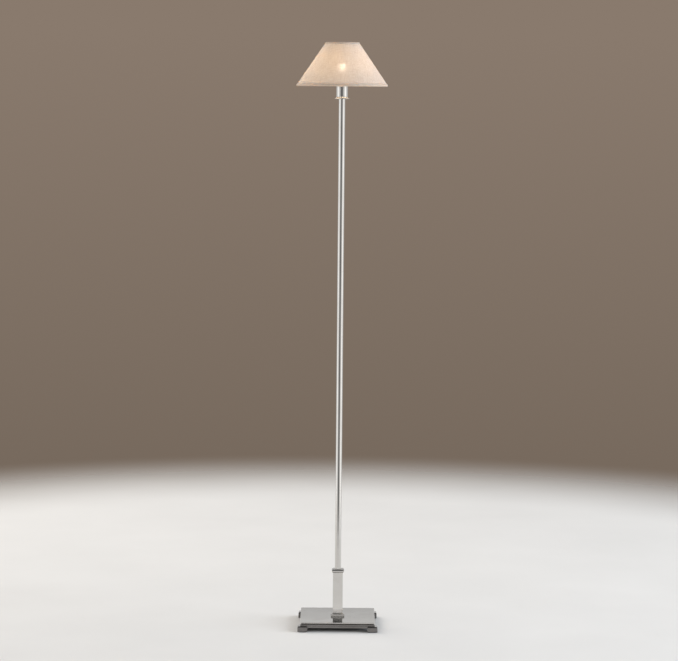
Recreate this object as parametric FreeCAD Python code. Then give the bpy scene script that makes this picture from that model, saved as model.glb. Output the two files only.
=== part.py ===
"""Slim candlestick floor lamp in polished nickel, with a coned linen shade.

A weighted square base stands on four block feet. A short square column rises from it, and a thin
round pole in two screwed lengths carries a flared cup with a small Edison screw lampholder. The
shade hangs on a three-armed fitter, clamped under the lampholder's ring, and a rotary switch knob
comes out of the back of the cup.

Millimetres, +Z up, front towards -Y. The origin is on the floor, on the pole's axis.
"""

import FreeCAD
import Part

import math
import os

Vector = FreeCAD.Vector
UP = Vector(0, 0, 1)
ORIGIN = Vector(0, 0, 0)

# Driving dimensions: the base.
BASE_SPAN = 203.2  # over the outer faces of the feet
FOOT_SIDE = 25.4
FOOT_TOP = 15.1
FOOT_BEVEL_HIGH = 2.7
FOOT_BEVEL_WIDE = 2.0
PAD_SIDE = 20.0
PAD_THICK = 1.0
PLATE_SIDE = 190.5
PLATE_THICK = 2.4
PLATE_CORNER = 2.5
SKIRT_SIDE = 189.0
SKIRT_BOTTOM = 9.7
SKIRT_HIGH = 12.3
SKIRT_INSIDE = 180.0
COVE_HIGH = 3.3
COVE_DEEP = 2.8
COVER_THICK = 1.0
BALLAST_SIDE = 176.0
NUT_POCKET_R = 13.0
NUT_POCKET_DEEP = 9.0
CHANNEL_WIDE = 18.0
SCREW_FROM_CENTRE = 83.0
SCREW_R = 2.45

# The cord inlet in the middle of the back of the skirt.
INLET_Z = 14.4
INLET_BORE_R = 3.1
INLET_BARREL_R = 3.7
INLET_FLANGE_R = 4.2

# The square column.
COLUMN_SIDE = 25.4
COLUMN_WALL = 1.5
COLUMN_CORNER = 0.8
PLINTH_SIDE = 35.0
PLINTH_FACE_HIGH = 5.8
PLINTH_COVE_HIGH = 2.8
CAP_SIDE = 31.4
CAP_BOTTOM = 136.5
CAP_NECK_HIGH = 2.6
CAP_FACE_HIGH = 2.9
CAP_BEVEL_HIGH = 3.5
CAP_TOP_SIDE = 24.4
SPIGOT_SIDE = 22.2
SPIGOT_HIGH = 8.0
POLE_SEAT_DEEP = 2.0

# The pole, and the hollow threaded rods that hold the lamp together.
POLE_R = 7.95
POLE_WALL = 1.2
POLE_TOP = 1347.2
POLE_JOINT = 745.0
PLUG_HIGH = 25.0
COUPLER_HIGH = 60.0
ROD_R = 5.0
ROD_BORE_R = 3.5
ROD_BOTTOM = 14.5
ROD_TOP = 164.0
NIPPLE_LOW = 1330.0
NIPPLE_TOP = 1355.3
SLIP = 0.04  # radial room between a plug and its tube, or a rod and its thread

# The cup under the shade.
CUP_R = 14.3
CUP_WALL = 0.9
CUP_TOP = 1384.0
CUP_FOOT_R = 19.05
CUP_FLOOR = 2.5

# The lampholder inside the cup.
HOLDER_R = 12.9
HOLDER_CAP_HIGH = 7.0
HOLDER_FLANGE_HIGH = 1.6
HOLDER_TOP = 1394.0
HOLDER_THREAD_R = 13.0
HOLDER_BORE_R = 8.4
HOLDER_FLOOR = 1368.0
SHELL_R = 7.2
SHELL_WALL = 0.45
RING_R = 18.0
RING_HIGH = 5.6

# The rotary switch, whose shaft points backwards.
SWITCH_Z = 1363.8
SHAFT_R = 1.5
CAM_R = 3.2
KNOB_R = 5.0
KNOB_NEAR = 17.6
KNOB_LONG = 12.0
KNOB_FLUTES = 24

# The lamp bulb: a small globe on a small Edison screw.
BULB_TIP = 1371.9
BULB_CAP_R = 6.9
BULB_CAP_TOP = 1396.9
GLOBE_R = 22.5
GLOBE_Z = 1427.4
GLASS_THICK = 0.8

# The shade. Its two wire rings set the cone: everything else is an offset from them.
SHADE_TOP = 1490.4
SHADE_BOTTOM = 1379.8
SHADE_BOTTOM_R = 115.6
SHADE_TOP_RING_R = 41.0
WIRE_R = 1.4
LINER_THICK = 0.35
LINEN_THICK = 0.5
HEM_THICK = 0.4
HEM_LEG = 3.0
FITTER_R = 17.5
FITTER_THICK = 1.2
SPOKE_R = 1.25
SPOKE_INNER_R = 14.9
SPOKE_ANGLES = (30, 150, 270)

# The two leads inside the lamp.
LEAD_R = 0.9
LEAD_OFFSET = 1.2
LEAD_BEND = 2.4
CONNECTOR_R = 3.5
CONNECTOR_LONG = 18.0

# Worked out from the above.
PLATE_BOTTOM = SKIRT_BOTTOM + SKIRT_HIGH
BASE_TOP = PLATE_BOTTOM + PLATE_THICK
PLINTH_TOP = BASE_TOP + PLINTH_FACE_HIGH + PLINTH_COVE_HIGH
CAP_FACE_BOTTOM = CAP_BOTTOM + CAP_NECK_HIGH
CAP_FACE_TOP = CAP_FACE_BOTTOM + CAP_FACE_HIGH
CAP_TOP = CAP_FACE_TOP + CAP_BEVEL_HIGH
POLE_BOTTOM = CAP_TOP - POLE_SEAT_DEEP
POLE_BORE_R = POLE_R - POLE_WALL
POCKET_TOP = SKIRT_BOTTOM + COVER_THICK + NUT_POCKET_DEEP
FOOT_CENTRE = (BASE_SPAN - FOOT_SIDE) / 2
CUP_INSIDE = POLE_TOP + CUP_FLOOR
HOLDER_CAP_TOP = CUP_INSIDE + HOLDER_CAP_HIGH
FITTER_BOTTOM = CUP_TOP + HOLDER_FLANGE_HIGH
TERMINAL_LOW = SWITCH_Z - 3.2
HEM_R = WIRE_R + LINER_THICK + LINEN_THICK + HEM_THICK
LOW_RING = Vector(SHADE_BOTTOM_R - HEM_R, 0, SHADE_BOTTOM + HEM_R)
HIGH_RING = Vector(SHADE_TOP_RING_R, 0, SHADE_TOP - HEM_R)


# Outlines and simple solids.


def point(u, v):
    """A point of an outline: u across from the axis, v up."""
    return Vector(u, 0, v)


def on_circle(centre, radius, degrees):
    """The (u, v) point of a circle at an angle, counted from +u towards +v."""
    turn = math.radians(degrees)
    return centre[0] + radius * math.cos(turn), centre[1] + radius * math.sin(turn)


def outline_edges(steps):
    """Edges through (u, v) points. A step of two points is an arc: a point on it, and its end."""
    edges = []
    here = point(*steps[0])
    for step in steps[1:]:
        if isinstance(step[0], tuple):
            end = point(*step[1])
            edges.append(Part.Arc(here, point(*step[0]), end).toShape())
        else:
            end = point(*step)
            edges.append(Part.makeLine(here, end))
        here = end
    return edges


def turned(steps):
    """A solid of revolution about Z from a closed outline."""
    edges = outline_edges([*steps, steps[0]])
    return Part.Face(Part.Wire(edges)).revolve(ORIGIN, UP, 360)


def dome(radius, rim, crown):
    """The outline step for a shallow dome: its arc goes from a rim at the radius to the axis."""
    rise = crown - rim
    sphere = (radius**2 + rise**2) / (2 * rise)
    rim_angle = math.degrees(math.acos(radius / abs(sphere)))
    middle = on_circle((0, crown - sphere), abs(sphere), math.copysign(45 + rim_angle / 2, rise))
    return middle, (0, crown)


def square_turned(steps):
    """A solid that is square at every height, with half its side and its height as (u, v)."""
    right = outline_edges(steps)
    left = [edge.mirror(ORIGIN, Vector(1, 0, 0)) for edge in right]
    first, last = steps[0], steps[-1] if not isinstance(steps[-1][0], tuple) else steps[-1][1]
    ends = [
        Part.makeLine(point(-first[0], first[1]), point(*first)),
        Part.makeLine(point(-last[0], last[1]), point(*last)),
    ]
    face = Part.Face(Part.Wire(Part.__sortEdges__(right + left + ends)))
    reach = 2 * max(edge.BoundBox.XMax for edge in right)
    across = face.extrude(Vector(0, 2 * reach, 0))
    across.translate(Vector(0, -reach, 0))
    along = across.copy()
    along.rotate(ORIGIN, UP, 90)
    return across.common(along).removeSplitter().Solids[0]


def tube(outer, inner, low, high):
    body = Part.makeCylinder(outer, high - low, Vector(0, 0, low))
    return body.cut(Part.makeCylinder(inner, high - low, Vector(0, 0, low)))


def rod(radius, start, end):
    start, end = Vector(*start), Vector(*end)
    return Part.makeCylinder(radius, (end - start).Length, start, end - start)


def block(side_x, side_y, low, high, centre=(0, 0)):
    corner = Vector(centre[0] - side_x / 2, centre[1] - side_y / 2, low)
    return Part.makeBox(side_x, side_y, high - low, corner)


def upright_edges(shape):
    return [e for e in shape.Edges if abs(e.tangentAt(e.FirstParameter).z) > 0.99]


def edges_at(shape, height):
    return [e for e in shape.Edges if e.BoundBox.ZLength < 1e-6 and abs(e.BoundBox.ZMin - height) < 1e-6]


def backwards(shape):
    """Turns a shape made about Z so that its axis points backwards, along +Y."""
    shape.rotate(ORIGIN, Vector(1, 0, 0), -90)
    return shape


# The base.


def base_top_plate():
    plate = block(PLATE_SIDE, PLATE_SIDE, PLATE_BOTTOM, BASE_TOP)
    plate = plate.makeFillet(PLATE_CORNER, upright_edges(plate))
    plate = plate.makeFillet(0.9, edges_at(plate, BASE_TOP))
    plate = plate.makeFillet(0.5, edges_at(plate, PLATE_BOTTOM))
    return plate.cut(rod(ROD_R + 0.1, (0, 0, PLATE_BOTTOM), (0, 0, BASE_TOP)))


def base_skirt():
    """The moulded frame under the plate: a plain fascia with a thin groove, and a cove above it."""
    half = SKIRT_SIDE / 2
    cove_low = PLATE_BOTTOM - COVE_HIGH
    cove_mid = (half - 0.75 * COVE_DEEP, cove_low + 0.3 * COVE_HIGH)
    groove = 0.4
    body = square_turned([
        (half - 0.4, SKIRT_BOTTOM),
        (half, SKIRT_BOTTOM + 0.4),
        (half, FOOT_TOP - groove),
        (half - 2 * groove, FOOT_TOP),
        (half, FOOT_TOP + groove),
        (half, cove_low - 0.3),
        (half - 0.3, cove_low),
        (cove_mid, (half - COVE_DEEP, PLATE_BOTTOM)),
    ])
    body = body.cut(block(SKIRT_INSIDE, SKIRT_INSIDE, SKIRT_BOTTOM, PLATE_BOTTOM))
    return body.cut(rod(INLET_BARREL_R, (0, 80, INLET_Z), (0, 100, INLET_Z)))


def foot_screw_places():
    spot = SCREW_FROM_CENTRE
    return [(x, y) for x in (-spot, spot) for y in (-spot, spot)]


def ballast_block():
    """Cast iron, with a pocket for the rod's nut and a channel to the cord inlet."""
    low = SKIRT_BOTTOM + COVER_THICK
    body = block(BALLAST_SIDE, BALLAST_SIDE, low, PLATE_BOTTOM)
    body = body.cut(rod(NUT_POCKET_R, (0, 0, low), (0, 0, POCKET_TOP)))
    body = body.cut(rod(ROD_R + 0.1, (0, 0, low), (0, 0, PLATE_BOTTOM)))
    half = BALLAST_SIDE / 2
    body = body.cut(block(CHANNEL_WIDE, half, low, POCKET_TOP, centre=(0, half / 2)))
    for x, y in foot_screw_places():
        body = body.cut(rod(SCREW_R + SLIP, (x, y, low), (x, y, PLATE_BOTTOM)))
    return body


def bottom_cover():
    side = SKIRT_INSIDE - 0.4
    body = block(side, side, SKIRT_BOTTOM, SKIRT_BOTTOM + COVER_THICK)
    for x, y in foot_screw_places():
        body = body.cut(rod(SCREW_R + 0.3, (x, y, SKIRT_BOTTOM), (x, y, SKIRT_BOTTOM + COVER_THICK)))
    return body


def foot(side_x, side_y):
    """A bevelled block, notched so that the skirt's corner sits in it. The sides are -1 or 1."""
    half = FOOT_SIDE / 2
    body = square_turned([
        (half - 0.5, PAD_THICK),
        (half, PAD_THICK + 0.5),
        (half, FOOT_TOP - FOOT_BEVEL_HIGH),
        (half - FOOT_BEVEL_WIDE, FOOT_TOP),
    ])
    body.translate(Vector(side_x * FOOT_CENTRE, side_y * FOOT_CENTRE, 0))
    body = body.cut(block(SKIRT_SIDE, SKIRT_SIDE, SKIRT_BOTTOM, FOOT_TOP + 1))
    x, y = side_x * SCREW_FROM_CENTRE, side_y * SCREW_FROM_CENTRE
    body = body.cut(rod(SCREW_R + 0.3, (x, y, PAD_THICK), (x, y, SKIRT_BOTTOM)))
    sink = Part.makeCone(5.0, SCREW_R + 0.3, 3.0, Vector(x, y, PAD_THICK + 0.2))
    recess = rod(5.0, (x, y, PAD_THICK), (x, y, PAD_THICK + 0.2))
    return body.cut(sink.fuse(recess))


def foot_pad(side_x, side_y):
    centre = (side_x * FOOT_CENTRE, side_y * FOOT_CENTRE)
    pad = block(PAD_SIDE, PAD_SIDE, 0, PAD_THICK, centre)
    return pad.makeFillet(2.0, upright_edges(pad))


def foot_screws():
    """Four countersunk screws up through the feet into the ballast."""
    head_low = PAD_THICK + 0.3
    head_high = 2.5
    screws = []
    for x, y in foot_screw_places():
        head = Part.makeCone(4.7, SCREW_R, head_high, Vector(x, y, head_low))
        shank = rod(SCREW_R, (x, y, head_low + head_high), (x, y, PLATE_BOTTOM - 2))
        slot = Part.makeBox(8.0, 1.0, 1.0, Vector(x - 4.0, y - 0.5, head_low))
        screws.append(head.fuse(shank).cut(slot).removeSplitter())
    return Part.makeCompound(screws)


def cord_bushing():
    """The plastic bushing that a flexible cord would come in through."""
    outside = SKIRT_SIDE / 2
    inside = SKIRT_INSIDE / 2
    body = turned([
        (INLET_BORE_R, inside - 1.0),
        (INLET_BARREL_R, inside - 1.0),
        (INLET_BARREL_R, outside),
        (INLET_FLANGE_R, outside),
        (INLET_FLANGE_R, outside + 0.7),
        (INLET_FLANGE_R - 0.5, outside + 1.2),
        (INLET_BORE_R, outside + 1.2),
    ])
    body = backwards(body)
    body.translate(Vector(0, 0, INLET_Z))
    return body


# The column and what clamps it.


def column_plinth():
    half, column_half = PLINTH_SIDE / 2, COLUMN_SIDE / 2
    face_top = BASE_TOP + PLINTH_FACE_HIGH
    cove_mid = (column_half + 0.3 * (half - column_half), face_top + 0.25 * PLINTH_COVE_HIGH)
    body = square_turned([
        (half - 0.4, BASE_TOP),
        (half, BASE_TOP + 0.4),
        (half, face_top - 0.4),
        (half - 0.4, face_top),
        (cove_mid, (column_half, PLINTH_TOP)),
    ])
    body = body.fuse(block(SPIGOT_SIDE, SPIGOT_SIDE, PLINTH_TOP, PLINTH_TOP + SPIGOT_HIGH))
    bore = rod(ROD_R + 0.1, (0, 0, BASE_TOP), (0, 0, PLINTH_TOP + SPIGOT_HIGH))
    return body.cut(bore).removeSplitter()


def column_tube():
    outer = block(COLUMN_SIDE, COLUMN_SIDE, PLINTH_TOP, CAP_BOTTOM)
    outer = outer.makeFillet(COLUMN_CORNER, upright_edges(outer))
    inside = COLUMN_SIDE - 2 * COLUMN_WALL
    return outer.cut(block(inside, inside, PLINTH_TOP, CAP_BOTTOM))


def column_cap():
    """The capital: a coved neck, a plain face and a bevel up to a flat top that seats the pole."""
    half, neck_half = CAP_SIDE / 2, COLUMN_SIDE / 2 + 0.6
    neck_mid = (neck_half + 0.25 * (half - neck_half), CAP_BOTTOM + 0.7 * CAP_NECK_HIGH)
    body = square_turned([
        (neck_half, CAP_BOTTOM),
        (neck_mid, (half - 0.3, CAP_FACE_BOTTOM)),
        (half, CAP_FACE_BOTTOM + 0.3),
        (half, CAP_FACE_TOP),
        (CAP_TOP_SIDE / 2, CAP_TOP),
    ])
    body = body.fuse(block(SPIGOT_SIDE, SPIGOT_SIDE, CAP_BOTTOM - SPIGOT_HIGH, CAP_BOTTOM))
    body = body.cut(rod(POLE_R + SLIP, (0, 0, POLE_BOTTOM), (0, 0, CAP_TOP)))
    bore = rod(ROD_R + 0.1, (0, 0, CAP_BOTTOM - SPIGOT_HIGH), (0, 0, POLE_BOTTOM))
    return body.cut(bore).removeSplitter()


def tie_rod():
    return tube(ROD_R, ROD_BORE_R, ROD_BOTTOM, ROD_TOP)


def rod_washer():
    return tube(12.0, ROD_R + 0.2, POCKET_TOP - 1.2, POCKET_TOP)


def rod_nut():
    across_flats = 16.0
    low, high = POCKET_TOP - 4.7, POCKET_TOP - 1.2
    corner_r = across_flats / math.sqrt(3)
    corners = [Vector(*on_circle((0, 0), corner_r, 60 * k), low) for k in range(7)]
    nut = Part.Face(Part.makePolygon(corners)).extrude(Vector(0, 0, high - low))
    crown = Part.makeCone(corner_r + 3.0, corner_r - 0.6, high - low, Vector(0, 0, high), Vector(0, 0, -1))
    return nut.common(crown).cut(rod(ROD_R + SLIP, (0, 0, low), (0, 0, high)))


# The pole.


def pole_lower():
    return tube(POLE_R, POLE_BORE_R, POLE_BOTTOM, POLE_JOINT)


def pole_upper():
    return tube(POLE_R, POLE_BORE_R, POLE_JOINT, POLE_TOP)


def pole_bottom_plug():
    return tube(POLE_BORE_R - SLIP, ROD_R + SLIP, POLE_BOTTOM, POLE_BOTTOM + PLUG_HIGH)


def pole_coupler():
    """The threaded sleeve inside the joint between the pole's two lengths."""
    half = COUPLER_HIGH / 2
    return tube(POLE_BORE_R - SLIP, ROD_BORE_R, POLE_JOINT - half, POLE_JOINT + half)


def pole_top_plug():
    return tube(POLE_BORE_R - SLIP, ROD_R + SLIP, POLE_TOP - PLUG_HIGH, POLE_TOP)


def top_nipple():
    return tube(ROD_R, ROD_BORE_R, NIPPLE_LOW, NIPPLE_TOP)


# The cup and the lampholder.


def socket_cup():
    """A turned cup whose side flares out to a thin rim at its foot."""
    rim_z = POLE_TOP + 2.0
    rim_half = 0.45
    flare = CUP_FOOT_R - rim_half - CUP_R
    flare_centre = (CUP_R + flare, rim_z + rim_half + flare)
    body = turned([
        (ROD_R + 0.1, POLE_TOP),
        (POLE_R + 0.4, POLE_TOP),
        ((14.0, POLE_TOP + 0.35), (CUP_FOOT_R - rim_half, rim_z - rim_half)),
        ((CUP_FOOT_R, rim_z), (CUP_FOOT_R - rim_half, rim_z + rim_half)),
        (on_circle(flare_centre, flare, 225), (CUP_R, rim_z + rim_half + flare)),
        (CUP_R, CUP_TOP - 0.3),
        (CUP_R - 0.3, CUP_TOP),
        (CUP_R - CUP_WALL, CUP_TOP),
        (CUP_R - CUP_WALL, CUP_INSIDE),
        (ROD_R + 0.1, CUP_INSIDE),
    ])
    return body.cut(rod(2.9, (0, 0, SWITCH_Z), (0, 20, SWITCH_Z)))


def holder_cap():
    """The lampholder's tapped metal base."""
    return turned([
        (ROD_R + SLIP, CUP_INSIDE),
        (HOLDER_R - 1.0, CUP_INSIDE),
        (HOLDER_R, CUP_INSIDE + 1.0),
        (HOLDER_R, HOLDER_CAP_TOP),
        (HOLDER_R - 2.5, HOLDER_CAP_TOP),
        (HOLDER_R - 2.5, HOLDER_CAP_TOP - 1.4),
        (ROD_R + SLIP, HOLDER_CAP_TOP - 1.4),
    ])


def holder_body():
    """The insulating body: switch chamber below, lamp bore above, and a threaded nose."""
    flange_top = FITTER_BOTTOM
    steps = [
        (HOLDER_R - 2.0, HOLDER_CAP_TOP),
        (HOLDER_R, HOLDER_CAP_TOP),
        (HOLDER_R, CUP_TOP),
        (CUP_R, CUP_TOP),
        (CUP_R, flange_top),
        (HOLDER_THREAD_R, flange_top),
    ]
    turns = 5
    pitch = (HOLDER_TOP - 0.6 - flange_top) / turns
    for k in range(turns):
        low = flange_top + k * pitch
        steps += [(HOLDER_THREAD_R - 0.5, low + pitch / 2), (HOLDER_THREAD_R, low + pitch)]
    steps += [
        (HOLDER_THREAD_R - 0.6, HOLDER_TOP),
        (HOLDER_BORE_R + 0.4, HOLDER_TOP),
        (HOLDER_BORE_R, HOLDER_TOP - 0.4),
        (HOLDER_BORE_R, HOLDER_FLOOR + 2.5),
        (0, HOLDER_FLOOR + 2.5),
        (0, HOLDER_FLOOR),
        (HOLDER_R - 2.0, HOLDER_FLOOR),
    ]
    body = turned(steps)
    return body.cut(rod(SHAFT_R + 0.1, (0, 5, SWITCH_Z), (0, 20, SWITCH_Z)))


def screw_shell():
    return tube(SHELL_R + SHELL_WALL, SHELL_R, HOLDER_FLOOR + 2.5, HOLDER_TOP - 2.5)


def centre_contact():
    """A springy brass tongue under the bulb's tip."""
    base = HOLDER_FLOOR + 2.5
    edges = [
        Part.makeLine(point(-4.5, base), point(1.0, base)),
        Part.makeLine(point(1.0, base), point(3.5, base + 0.9)),
        Part.makeLine(point(3.5, base + 0.9), point(3.4, base + 1.2)),
        Part.makeLine(point(3.4, base + 1.2), point(0.9, base + 0.3)),
        Part.makeLine(point(0.9, base + 0.3), point(-4.5, base + 0.3)),
        Part.makeLine(point(-4.5, base + 0.3), point(-4.5, base)),
    ]
    tongue = Part.Face(Part.Wire(edges)).extrude(Vector(0, 4.0, 0))
    tongue.translate(Vector(0, -2.0, 0))
    return tongue


def terminals():
    """Two brass blocks under the lamp bore's floor, that the leads run into from below."""
    return Part.makeCompound([
        block(4.6, 5.0, TERMINAL_LOW, HOLDER_FLOOR, (side * 6.4, 0)) for side in (-1, 1)
    ])


def terminal_screws():
    screws = []
    for side in (-1, 1):
        head = rod(1.4, (side * 6.4, 2.5, SWITCH_Z - 1.0), (side * 6.4, 3.8, SWITCH_Z - 1.0))
        slot = block(0.5, 0.6, SWITCH_Z - 3.0, SWITCH_Z + 1.0, (side * 6.4, 3.6))
        screws.append(head.cut(slot))
    return Part.makeCompound(screws)


def switch_leaves():
    """Two spring leaves that the cam closes, one on each side."""
    low = SWITCH_Z - 3.0
    return Part.makeCompound([block(0.4, 4.0, low, low + 7.0, (side * 3.9, 0)) for side in (-1, 1)])


def switch_bushing():
    """The threaded sleeve that guides the shaft through the cup's wall."""
    sleeve = tube(2.8, SHAFT_R + 0.05, HOLDER_R + 0.1, CUP_R + 1.3)
    collar = tube(4.0, SHAFT_R + 0.05, CUP_R + 0.02, CUP_R + 1.3)
    body = backwards(sleeve.fuse(collar).removeSplitter())
    body.translate(Vector(0, 0, SWITCH_Z))
    return body


def switch_shaft():
    return rod(SHAFT_R, (0, CAM_R + 1.0, SWITCH_Z), (0, KNOB_NEAR, SWITCH_Z))


def switch_cam():
    """The insulating cam: a drum with two flats."""
    drum = rod(CAM_R, (0, -CAM_R - 1.0, SWITCH_Z), (0, CAM_R + 1.0, SWITCH_Z))
    core = block(2 * CAM_R + 1, 2 * CAM_R + 3, SWITCH_Z - 2.4, SWITCH_Z + 2.4)
    return drum.common(core)


def switch_knob():
    """A turned knob with a knurled grip between two plain rims, and a domed end."""
    far = KNOB_NEAR + KNOB_LONG
    grip_low, grip_high = KNOB_NEAR + 3.2, far - 3.0
    base = turned([
        (0, KNOB_NEAR),
        (3.4, KNOB_NEAR),
        (3.4, KNOB_NEAR + 1.6),
        (KNOB_R - 0.5, KNOB_NEAR + 1.6),
        (KNOB_R, KNOB_NEAR + 2.1),
        (KNOB_R, grip_low),
        (0, grip_low),
    ])
    radii = [KNOB_R - 0.15 - 0.35 * (k % 2) for k in range(2 * KNOB_FLUTES + 1)]
    corners = [Vector(*on_circle((0, 0), r, 180 / KNOB_FLUTES * k), grip_low) for k, r in enumerate(radii)]
    grip = Part.Face(Part.makePolygon(corners)).extrude(Vector(0, 0, grip_high - grip_low))
    end = turned([
        (0, grip_high),
        (KNOB_R, grip_high),
        (KNOB_R, far - 1.8),
        dome(KNOB_R, far - 1.8, far),
    ])
    body = backwards(base.fuse([grip, end]).removeSplitter())
    body.translate(Vector(0, 0, SWITCH_Z))
    return body


def shade_retaining_ring():
    """The knurled ring that screws down over the shade's fitter."""
    low = FITTER_BOTTOM + FITTER_THICK + 0.05
    high = low + RING_HIGH
    body = turned([
        (HOLDER_THREAD_R + SLIP, low),
        (RING_R - 0.4, low),
        (RING_R, low + 0.4),
        (RING_R, high - 0.8),
        (RING_R - 0.8, high),
        (HOLDER_THREAD_R + SLIP, high),
    ])
    notch_count = 24
    for k in range(notch_count):
        x, y = on_circle((0, 0), RING_R + 0.5, 360 / notch_count * k)
        body = body.cut(Part.makeCylinder(0.9, RING_HIGH + 1, Vector(x, y, low - 0.5)))
    return body


# The bulb.


def globe(inset):
    """The bulb's glass as a full solid, drawn in by an inset."""
    radius = GLOBE_R - inset
    neck_r = 8.2 - inset
    meet = on_circle((0, GLOBE_Z), radius, -46)
    neck_top = BULB_CAP_TOP + 3.0
    neck_mid = ((neck_r + meet[0]) / 2 - 1.3, (neck_top + meet[1]) / 2 + 0.9)
    return turned([
        (0, BULB_CAP_TOP),
        (neck_r, BULB_CAP_TOP),
        (neck_r, neck_top),
        (neck_mid, meet),
        ((radius, GLOBE_Z), (0, GLOBE_Z + radius)),
    ])


def bulb_glass():
    return globe(0).cut(globe(GLASS_THICK))


def bulb_cap():
    """The nickelled screw shell: rounded threads below a short plain collar."""
    wall = 0.35
    low = BULB_TIP + 4.1
    turns = 5
    pitch = 2.8
    outer = [(BULB_CAP_R - 1.1, low)]
    for k in range(turns):
        crest = low + (k + 0.5) * pitch
        root = low + (k + 1) * pitch
        outer += [((BULB_CAP_R, crest), (BULB_CAP_R - 0.7, root))]
    top_of_thread = low + turns * pitch
    outer += [
        (BULB_CAP_R, top_of_thread + 1.2),
        (BULB_CAP_R, BULB_CAP_TOP - 2.4),
        (8.2 + wall, BULB_CAP_TOP - 1.6),
        (8.2 + wall, BULB_CAP_TOP + 1.6),
        (8.2, BULB_CAP_TOP + 1.6),
        (8.2, BULB_CAP_TOP - 1.3),
        (BULB_CAP_R - 1.1, BULB_CAP_TOP - 2.4),
    ]
    return turned(outer)


def bulb_insulator():
    return turned([
        (0, BULB_TIP + 1.3),
        (2.6, BULB_TIP + 1.3),
        (BULB_CAP_R - 1.1, BULB_TIP + 4.1),
        (0, BULB_TIP + 4.1),
    ])


def bulb_tip():
    return turned([
        (0, BULB_TIP + 1.3),
        (2.4, BULB_TIP + 1.3),
        dome(2.4, BULB_TIP + 1.3, BULB_TIP),
    ])


def bulb_stem():
    """The glass mount inside the globe."""
    return turned([
        (0, BULB_CAP_TOP - 1.0),
        (5.2, BULB_CAP_TOP - 1.0),
        ((2.6, BULB_CAP_TOP + 4.0), (1.8, BULB_CAP_TOP + 9.0)),
        (1.8, BULB_CAP_TOP + 14.0),
        (0, BULB_CAP_TOP + 15.0),
    ])


def bulb_filament():
    """Two support wires, and a coiled filament bent in an arc between them."""
    low = BULB_CAP_TOP + 15.0
    reach = 8.0
    filament_r = 0.45
    arc = Part.Arc(point(-reach, GLOBE_Z - 1), point(0, GLOBE_Z + 2.5), point(reach, GLOBE_Z - 1)).toShape()
    section = Part.Wire(Part.makeCircle(filament_r, point(-reach, GLOBE_Z - 1), arc.tangentAt(arc.FirstParameter)))
    coil = Part.Wire(arc).makePipeShell([section], True, False)
    wires = [rod(0.3, (side * 0.9, 0, low - 1.0), (side * reach, 0, GLOBE_Z - 1)) for side in (-1, 1)]
    stem = bulb_stem()
    return Part.makeCompound([coil] + [wire.cut(stem).cut(coil) for wire in wires])


# The shade.


def on_shade(along, out):
    """The (u, v) point at a distance up the slant from the lower ring, and out from the rings' line."""
    slant = HIGH_RING.sub(LOW_RING)
    slant.normalize()
    spot = LOW_RING.add(slant * along).add(Vector(slant.z, 0, -slant.x) * out)
    return spot.x, spot.z


def cone_layer(inner, outer):
    length = HIGH_RING.sub(LOW_RING).Length
    return turned([on_shade(0, inner), on_shade(0, outer), on_shade(length, outer), on_shade(length, inner)])


def shade_liner():
    return cone_layer(WIRE_R, WIRE_R + LINER_THICK)


def shade_linen():
    return cone_layer(WIRE_R + LINER_THICK, HEM_R - HEM_THICK)


def wire_ring(centre):
    return Part.makeTorus(centre.x, WIRE_R, Vector(0, 0, centre.z))


def shade_bottom_ring():
    return wire_ring(LOW_RING)


def shade_top_ring():
    return wire_ring(HIGH_RING)


def hem(place, sense):
    """A strip of linen rolled over an edge. place is how far up the slant, sense 1 at the foot."""
    inner = HEM_R - HEM_THICK
    return turned([
        on_shade(place + sense * HEM_LEG, inner),
        on_shade(place + sense * HEM_LEG, HEM_R),
        on_shade(place, HEM_R),
        (on_shade(place - sense * HEM_R, 0), on_shade(place, -HEM_R)),
        on_shade(place + sense * HEM_LEG, -HEM_R),
        on_shade(place + sense * HEM_LEG, -inner),
        on_shade(place, -inner),
        (on_shade(place - sense * inner, 0), on_shade(place, inner)),
    ])


def spoke(degrees, radius):
    """One arm, welded under the fitter ring and to the lower wire ring."""
    start = Vector(SPOKE_INNER_R, 0, FITTER_BOTTOM - SPOKE_R)
    arm = Part.makeCylinder(radius, (LOW_RING - start).Length, start, LOW_RING - start)
    arm.rotate(ORIGIN, UP, degrees)
    return arm


def shade_spoke(degrees):
    return spoke(degrees, SPOKE_R).cut(shade_bottom_ring()).cut(shade_fitter_ring()).Solids[0]


def shade_bottom_hem():
    body = hem(0, 1)
    for degrees in SPOKE_ANGLES:
        body = body.cut(spoke(degrees, SPOKE_R + 0.1))
    return body


def shade_top_hem():
    return hem(HIGH_RING.sub(LOW_RING).Length, -1)


def shade_fitter_ring():
    return tube(FITTER_R, HOLDER_THREAD_R + 0.15, FITTER_BOTTOM, FITTER_BOTTOM + FITTER_THICK)


# The leads inside the lamp.


def bent_wire(corners, radius, bend):
    """A round wire along straight runs that are joined by tangent arcs."""
    edges = []
    here = corners[0]
    for before, corner, after in zip(corners, corners[1:], corners[2:]):
        back, on = (before - corner).normalize(), (after - corner).normalize()
        half_turn = (math.pi - back.getAngle(on)) / 2
        cut = bend * math.tan(half_turn)
        start, end = corner + back * cut, corner + on * cut
        middle = (back + on).normalize()
        mid = corner + middle * (bend / math.cos(half_turn) - bend)
        edges += [Part.makeLine(here, start), Part.Arc(start, mid, end).toShape()]
        here = end
    edges.append(Part.makeLine(here, corners[-1]))
    path = Part.Wire(edges)
    section = Part.Wire(Part.makeCircle(radius, corners[0], corners[1] - corners[0]))
    wire = path.makePipeShell([section], True, False)
    print(f"lead: {path.Length:.0f} mm long, volume share {wire.Volume / (math.pi * radius**2 * path.Length):.4f}")
    return wire


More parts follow.
